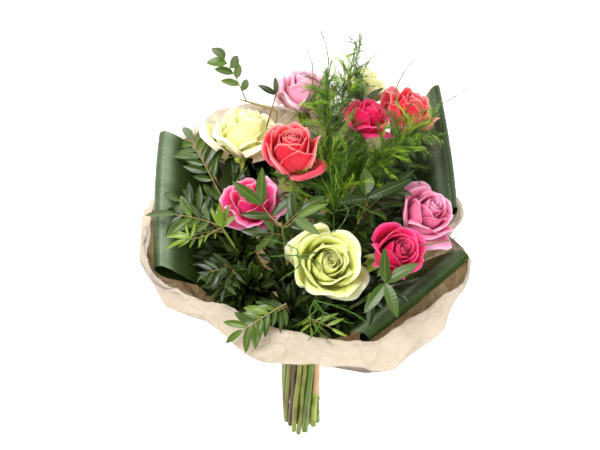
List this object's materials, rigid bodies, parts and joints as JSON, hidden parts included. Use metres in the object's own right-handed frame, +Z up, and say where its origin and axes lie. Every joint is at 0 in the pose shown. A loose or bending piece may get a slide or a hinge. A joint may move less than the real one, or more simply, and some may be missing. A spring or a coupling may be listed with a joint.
{
  "type": "flower bouquet",
  "caption": "Hand-tied bouquet of roses, folded aspidistra leaves, pistacia and asparagus fern in a kraft paper collar, lying on its side.",
  "frame": {"origin": "middle of the box's footprint, on the surface that the bouquet lies on", "axes": "+Z up from that surface, +Y along the bouquet towards the cut ends of the stems, the flowers face -Y"},
  "size_m": [0.3238, 0.5124, 0.2845],
  "materials": {
    "petals_cream_left": "satin",
    "petals_pink_back": "satin",
    "petals_cream_back": "satin",
    "petals_magenta_mid": "satin",
    "petals_coral_right": "satin",
    "petals_coral_center": "satin",
    "petals_hotpink_left": "satin",
    "petals_green_front": "satin",
    "petals_hotpink_right": "satin",
    "petals_pink_right": "satin",
    "rose_stem": "satin",
    "aspidistra_leaf": "glossy",
    "pistacia_leaf": "satin",
    "fern_needles": "satin",
    "peeled_wood": "matte",
    "kraft_paper": "matte",
    "raffia": "matte"
  },
  "bodies": {
    "root": {"rose_cream_left_bloom": "petals_cream_left", "rose_cream_left_stem": "rose_stem", "rose_pink_back_bloom": "petals_pink_back", "rose_pink_back_stem": "rose_stem", "rose_cream_back_bloom": "petals_cream_back", "rose_cream_back_stem": "rose_stem", "rose_magenta_mid_bloom": "petals_magenta_mid", "rose_magenta_mid_stem": "rose_stem", "rose_coral_right_bloom": "petals_coral_right", "rose_coral_right_stem": "rose_stem", "rose_coral_center_bloom": "petals_coral_center", "rose_coral_center_stem": "rose_stem", "rose_hotpink_left_bloom": "petals_hotpink_left", "rose_hotpink_left_stem": "rose_stem", "rose_green_front_bloom": "petals_green_front", "rose_green_front_stem": "rose_stem", "rose_hotpink_right_bloom": "petals_hotpink_right", "rose_hotpink_right_stem": "rose_stem", "rose_pink_right_bloom": "petals_pink_right", "rose_pink_right_stem": "rose_stem", "aspidistra_left": "aspidistra_leaf", "aspidistra_right": "aspidistra_leaf", "aspidistra_front": "aspidistra_leaf", "pistacia_left_back": "pistacia_leaf", "pistacia_left": "pistacia_leaf", "pistacia_left_front": "pistacia_leaf", "pistacia_front": "pistacia_leaf", "pistacia_centre": "pistacia_leaf", "pistacia_right": "pistacia_leaf", "pistacia_front_right": "pistacia_leaf", "pistacia_back_left": "pistacia_leaf", "pistacia_back": "pistacia_leaf", "pistacia_low_front": "pistacia_leaf", "fern_centre": "fern_needles", "fern_right": "fern_needles", "fern_back": "fern_needles", "cut_twig": "peeled_wood", "paper_wrap": "kraft_paper", "stem_tie": "raffia", "paper_tie": "raffia"}
  },
  "joints": []
}
